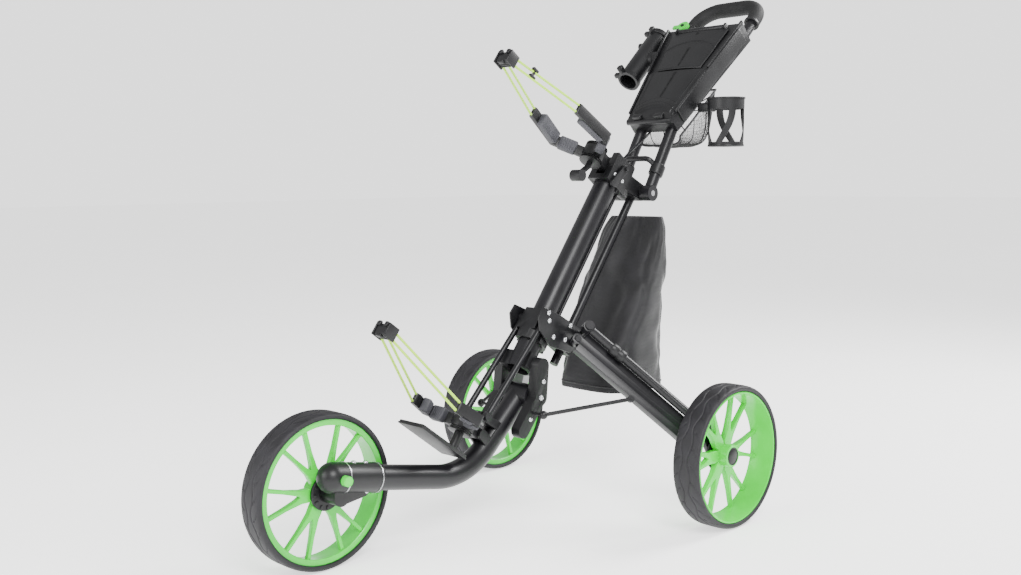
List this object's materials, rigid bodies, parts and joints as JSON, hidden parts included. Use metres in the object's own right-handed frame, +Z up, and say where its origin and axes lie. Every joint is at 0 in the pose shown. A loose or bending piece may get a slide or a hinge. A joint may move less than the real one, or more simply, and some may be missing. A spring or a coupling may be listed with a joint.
{
  "type": "golf push trolley",
  "caption": "Folding wheeled golf bag carrier with leaning mast, splayed rear legs, swinging front arm, cradles, loop handle and tray console.",
  "frame": {"origin": "on the ground under the middle of the bounding box", "axes": "+X forwards, towards the single front wheel; +Y to the trolley's left; +Z up"},
  "size_m": [1.3378, 0.71, 1.0936],
  "materials": {
    "tyre": "moulded tread, matt",
    "rim_green": "moulded, satin gloss",
    "black_metal": "powder coated, satin black",
    "black_plastic": "moulded, fine grain",
    "steel": "plated",
    "green_plastic": "moulded",
    "grey_plastic": "moulded",
    "foam": "foamed grip",
    "pad": "moulded ribbed pad",
    "cord": "braided elastic cord",
    "net": "knitted net",
    "nylon": "woven nylon"
  },
  "bodies": {
    "frame": {"mast_tube": "black_metal", "mast_fork": "black_plastic", "upper_joint": "black_plastic", "guide_rails": "steel", "fold_pins": "steel", "bag": "nylon"},
    "slider": {"hub_plates": "black_metal", "hub_block": "black_plastic", "hub_hinge_studs": "steel"},
    "strut_pair": {"front_struts": "black_metal"},
    "front_arm": {"front_tube": "black_metal", "cradle_bracket": "black_plastic"},
    "front_carrier": {"front_sleeve": "black_plastic", "index_knob": "green_plastic"},
    "front_wheel": {"tyre_front": "tyre", "rim_front": "rim_green", "hub_cap_front": "black_plastic", "brake_disc_front": "grey_plastic"},
    "left_wheel": {"tyre_left": "tyre", "rim_left": "rim_green", "hub_cap_left": "black_plastic", "brake_disc_left": "grey_plastic"},
    "right_wheel": {"tyre_right": "tyre", "rim_right": "rim_green", "hub_cap_right": "black_plastic", "brake_disc_right": "grey_plastic"},
    "left_leg": {"leg_left": "black_metal"},
    "right_leg": {"leg_right": "black_metal"},
    "left_leg_strut": {"leg_strut_left": "black_metal"},
    "right_leg_strut": {"leg_strut_right": "black_metal"},
    "left_carrier": {"wheel_carrier_left": "black_plastic"},
    "right_carrier": {"wheel_carrier_right": "black_plastic"},
    "left_stay": {"stay_rod_left": "steel"},
    "right_stay": {"stay_rod_right": "steel"},
    "handle": {"handle_frame": "black_metal", "handle_grip": "foam", "console": "black_plastic", "brake_bracket": "black_plastic", "umbrella_bracket": "black_plastic", "cup_holder": "black_plastic", "mesh_basket": "net", "brake_cable": "black_plastic"},
    "lid": {"console_lid": "black_plastic"},
    "brake": {"brake_lever": "green_plastic"},
    "umbrella_tube": {"umbrella_holder": "black_plastic"},
    "latch": {"cam_latch": "black_plastic"},
    "upper_cradle": {"cradle_hub_upper": "black_plastic", "cradle_arms_upper": "black_plastic", "cradle_pads_upper": "pad", "loop_upper_left": "cord", "loop_upper_right": "cord", "loop_clip_upper": "black_plastic", "cradle_brace": "black_plastic"},
    "lower_cradle": {"cradle_hub_lower": "black_plastic", "cradle_arms_lower": "black_plastic", "cradle_pads_lower": "pad", "loop_lower_left": "cord", "loop_lower_right": "cord", "loop_clip_lower": "black_plastic", "cradle_base_plate": "black_plastic"}
  },
  "joints": [
    {"name": "hub_slide", "type": "slide", "parent": "frame", "child": "slider", "axis": [-0.599, 0, 0.8007], "range_m": [0, 0.16]},
    {"name": "front_fold", "type": "hinge", "parent": "frame", "child": "front_arm", "pos_m": [0.08301, 0, 0.25388], "axis": [0, -1, 0], "range_deg": [0, 85]},
    {"name": "front_strut_swing", "type": "hinge", "parent": "slider", "child": "strut_pair", "pos_m": [0.04027, 0, 0.4005], "axis": [0, -1, 0], "range_deg": [0, 3.6]},
    {"name": "left_leg_fold", "type": "hinge", "parent": "slider", "child": "left_leg", "pos_m": [-0.01738, 0.064, 0.35737], "axis": [-0.4349, -0.79, -0.4322], "range_deg": [0, 71.83]},
    {"name": "left_leg_strut_fold", "type": "hinge", "parent": "slider", "child": "left_leg_strut", "pos_m": [-0.029, 0.0833, 0.38351], "axis": [-0.4349, -0.79, -0.4322], "range_deg": [0, 71.83]},
    {"name": "left_carrier_level", "type": "hinge", "parent": "left_leg", "child": "left_carrier", "pos_m": [-0.1571, 0.25, 0.158], "axis": [0.4349, 0.79, 0.4322], "range_deg": [0, 71.83]},
    {"name": "left_stay_swing", "type": "hinge", "parent": "frame", "child": "left_stay", "pos_m": [0.10606, 0.087, 0.22742], "axis": [0.4553, 0.8212, 0.3439], "range_deg": [0, 57.78]},
    {"name": "left_wheel_spin", "type": "hinge", "parent": "left_carrier", "child": "left_wheel", "pos_m": [-0.1611, 0.326, 0.14], "axis": [0, 1, 0], "continuous": true},
    {"name": "right_leg_fold", "type": "hinge", "parent": "slider", "child": "right_leg", "pos_m": [-0.01738, -0.064, 0.35737], "axis": [0.4349, -0.79, 0.4322], "range_deg": [0, 71.83]},
    {"name": "right_leg_strut_fold", "type": "hinge", "parent": "slider", "child": "right_leg_strut", "pos_m": [-0.029, -0.0833, 0.38351], "axis": [0.4349, -0.79, 0.4322], "range_deg": [0, 71.83]},
    {"name": "right_carrier_level", "type": "hinge", "parent": "right_leg", "child": "right_carrier", "pos_m": [-0.1571, -0.25, 0.158], "axis": [-0.4349, 0.79, -0.4322], "range_deg": [0, 71.83]},
    {"name": "right_stay_swing", "type": "hinge", "parent": "frame", "child": "right_stay", "pos_m": [0.10606, -0.087, 0.22742], "axis": [-0.4553, 0.8212, -0.3439], "range_deg": [0, 57.78]},
    {"name": "right_wheel_spin", "type": "hinge", "parent": "right_carrier", "child": "right_wheel", "pos_m": [-0.1611, -0.326, 0.14], "axis": [0, 1, 0], "continuous": true},
    {"name": "front_wheel_spin", "type": "hinge", "parent": "front_carrier", "child": "front_wheel", "pos_m": [0.5289, -0.06, 0.14], "axis": [0, 1, 0], "continuous": true},
    {"name": "front_wheel_flip", "type": "hinge", "parent": "front_arm", "child": "front_carrier", "pos_m": [0.5289, 0, 0.173], "axis": [0.9816, 0, 0.1908], "range_deg": [0, 180]},
    {"name": "handle_fold", "type": "hinge", "parent": "frame", "child": "handle", "pos_m": [-0.27503, 0, 0.64668], "axis": [0, -1, 0], "range_deg": [0, 140], "deforming": ["bag", "brake_cable"]},
    {"name": "lid_open", "type": "hinge", "parent": "handle", "child": "lid", "pos_m": [-0.52328, 0, 1.01846], "axis": [0, -1, 0], "range_deg": [0, 100]},
    {"name": "brake_turn", "type": "hinge", "parent": "handle", "child": "brake", "pos_m": [-0.57092, -0.084, 1.03442], "axis": [0.682, 0, 0.7314], "range_deg": [-40, 40]},
    {"name": "umbrella_tilt", "type": "hinge", "parent": "handle", "child": "umbrella_tube", "pos_m": [-0.48714, -0.136, 0.95711], "axis": [0, 1, 0], "range_deg": [-30, 45]},
    {"name": "latch_release", "type": "hinge", "parent": "frame", "child": "latch", "pos_m": [-0.20757, 0.028, 0.6984], "axis": [0, -1, 0], "range_deg": [0, 70]},
    {"name": "upper_cradle_tilt", "type": "hinge", "parent": "frame", "child": "upper_cradle", "pos_m": [-0.17676, 0, 0.70396], "axis": [0, -1, 0], "range_deg": [-15, 20]},
    {"name": "lower_cradle_tilt", "type": "hinge", "parent": "front_arm", "child": "lower_cradle", "pos_m": [0.20122, 0, 0.1937], "axis": [0, 1, 0], "range_deg": [0, 7]}
  ],
  "couplings": [
    {"joint": "front_fold", "follows": "hub_slide", "rad_per_m": 9.2711},
    {"joint": "front_strut_swing", "follows": "hub_slide", "rad_per_m": 0.39266},
    {"joint": "left_leg_fold", "follows": "hub_slide", "rad_per_m": 7.8346},
    {"joint": "left_leg_strut_fold", "follows": "hub_slide", "rad_per_m": 7.8346},
    {"joint": "left_carrier_level", "follows": "hub_slide", "rad_per_m": 7.8346},
    {"joint": "left_stay_swing", "follows": "hub_slide", "rad_per_m": 6.3022},
    {"joint": "right_leg_fold", "follows": "hub_slide", "rad_per_m": 7.8346},
    {"joint": "right_leg_strut_fold", "follows": "hub_slide", "rad_per_m": 7.8346},
    {"joint": "right_carrier_level", "follows": "hub_slide", "rad_per_m": 7.8346},
    {"joint": "right_stay_swing", "follows": "hub_slide", "rad_per_m": 6.3022}
  ]
}
